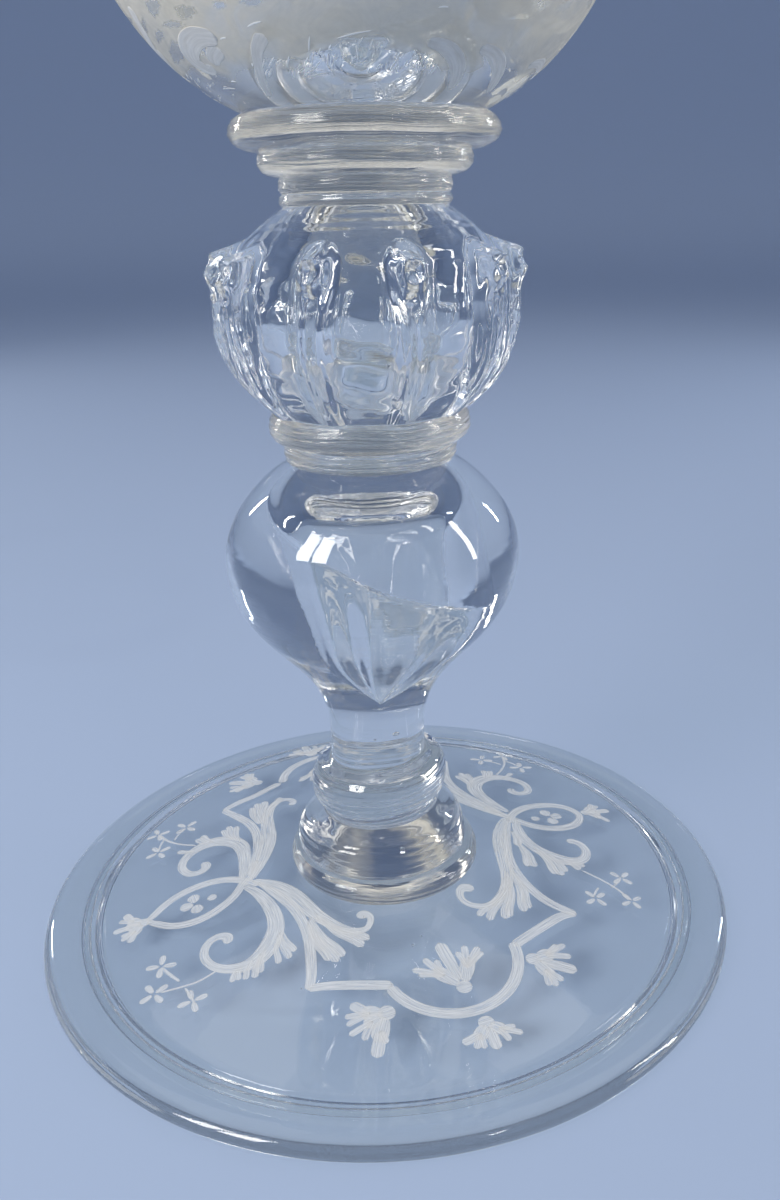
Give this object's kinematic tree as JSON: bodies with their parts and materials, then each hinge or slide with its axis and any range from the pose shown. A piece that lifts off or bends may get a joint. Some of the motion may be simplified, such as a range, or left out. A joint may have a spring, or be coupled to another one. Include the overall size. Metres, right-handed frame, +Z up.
{
  "type": "drinking glass",
  "caption": "Tall stemmed drinking glass with a rounded bowl, stacked collars, a ribbed knop, an inverted baluster and a wide folded foot, with engraved scrollwork.",
  "frame": {"origin": "on the table, under the middle of the foot", "axes": "+Z up along the stem to the rim; -Y faces the viewer"},
  "size_m": [0.12, 0.12, 0.25],
  "materials": {
    "clear_glass": "fire-polished, slightly grey, with fine striae",
    "collar_glass": "fire-polished, with turned striae and a faint warm grey tint",
    "engraved_glass": "polished, with wheel-engraved matte scrollwork on a frosted ground"
  },
  "bodies": {
    "root": {"foot": "clear_glass", "foot_collar": "collar_glass", "stem_base": "clear_glass", "stem_ring": "clear_glass", "baluster": "clear_glass", "baluster_collar": "collar_glass", "knop_collar": "collar_glass", "ribbed_knop": "clear_glass", "neck_ring": "collar_glass", "second_collar": "collar_glass", "bowl_collar": "collar_glass", "bowl": "engraved_glass"}
  },
  "joints": []
}
